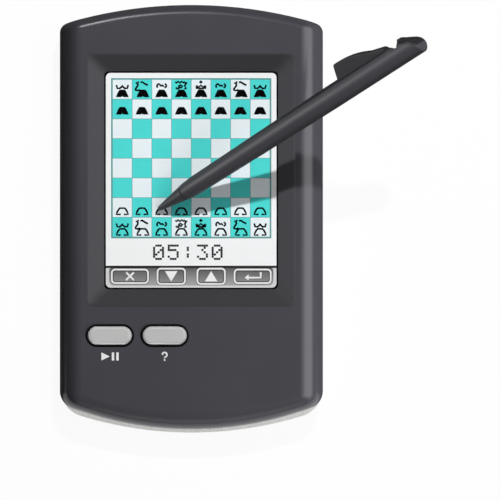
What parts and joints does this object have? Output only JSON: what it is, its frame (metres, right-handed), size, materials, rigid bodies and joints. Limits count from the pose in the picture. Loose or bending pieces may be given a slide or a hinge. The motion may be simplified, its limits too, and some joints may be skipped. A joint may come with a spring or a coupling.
{
  "type": "electronic chess computer",
  "caption": "Handheld electronic chess computer with a sunken touch screen board, printed touch keys, sprung push buttons, a sliding battery door and a loose stylus with its own silo.",
  "frame": {"origin": "middle of the flat back, on which the case lies", "axes": "+X to the player's right, +Y towards the top end, +Z out of the screen"},
  "size_m": [0.112, 0.1332, 0.0777],
  "materials": {
    "charcoal_plastic": "satin",
    "silver_plastic": "satin",
    "surround_plastic": "satin",
    "screw_steel": "satin",
    "gasket_rubber": "matte",
    "clear_panel": "gloss",
    "printed_film": "satin",
    "crystal_glass": "gloss",
    "reflector_film": "satin",
    "black_plastic": "matte",
    "ribbon_film": "satin",
    "ivory_plastic": "satin",
    "board_laminate": "satin",
    "black_resin": "gloss",
    "capacitor_can": "satin",
    "button_plastic": "satin",
    "dome_rubber": "matte",
    "carbon_rubber": "matte",
    "cell_jacket": "satin",
    "contact_steel": "bright",
    "stylus_plastic": "satin"
  },
  "bodies": {
    "case": {"front_shell": "charcoal_plastic", "rear_shell": "silver_plastic", "case_screws": "screw_steel", "screen_surround": "surround_plastic", "screen_gasket": "gasket_rubber", "touch_panel": "clear_panel", "key_film": "printed_film", "lcd_glass": "crystal_glass", "lcd_reflector": "reflector_film", "screen_tray": "black_plastic", "lcd_ribbon": "ribbon_film", "touch_ribbon": "ribbon_film", "touch_socket": "ivory_plastic", "main_board": "board_laminate", "board_screws": "screw_steel", "processor": "black_resin", "crystal": "screw_steel", "capacitors": "capacitor_can", "buzzer": "black_plastic", "start_dome": "dome_rubber", "help_dome": "dome_rubber", "battery_cell_upper": "cell_jacket", "battery_cell_lower": "cell_jacket", "battery_terminals": "contact_steel", "battery_bridge": "contact_steel", "battery_springs": "contact_steel", "stylus_silo": "black_plastic"},
    "start_button": {"start_button": "button_plastic", "start_pill": "carbon_rubber"},
    "help_button": {"help_button": "button_plastic", "help_pill": "carbon_rubber"},
    "battery_door": {"battery_door": "silver_plastic"},
    "stylus": {"stylus_barrel": "stylus_plastic", "stylus_nib": "stylus_plastic"}
  },
  "joints": [
    {"name": "start_press", "type": "slide", "parent": "case", "child": "start_button", "axis": [0, 0, -1], "range_m": [0, 0.0012], "stiffness_N_per_m": 800, "deforming": ["start_dome"]},
    {"name": "help_press", "type": "slide", "parent": "case", "child": "help_button", "axis": [0, 0, -1], "range_m": [0, 0.0012], "stiffness_N_per_m": 800, "deforming": ["help_dome"]},
    {"name": "battery_door_slide", "type": "slide", "parent": "case", "child": "battery_door", "axis": [0, -1, 0], "range_m": [0, 0.035]},
    {"name": "stylus_lift", "type": "slide", "parent": "case", "child": "stylus", "axis": [0, 0, 1], "range_m": [0, 0.05]}
  ]
}
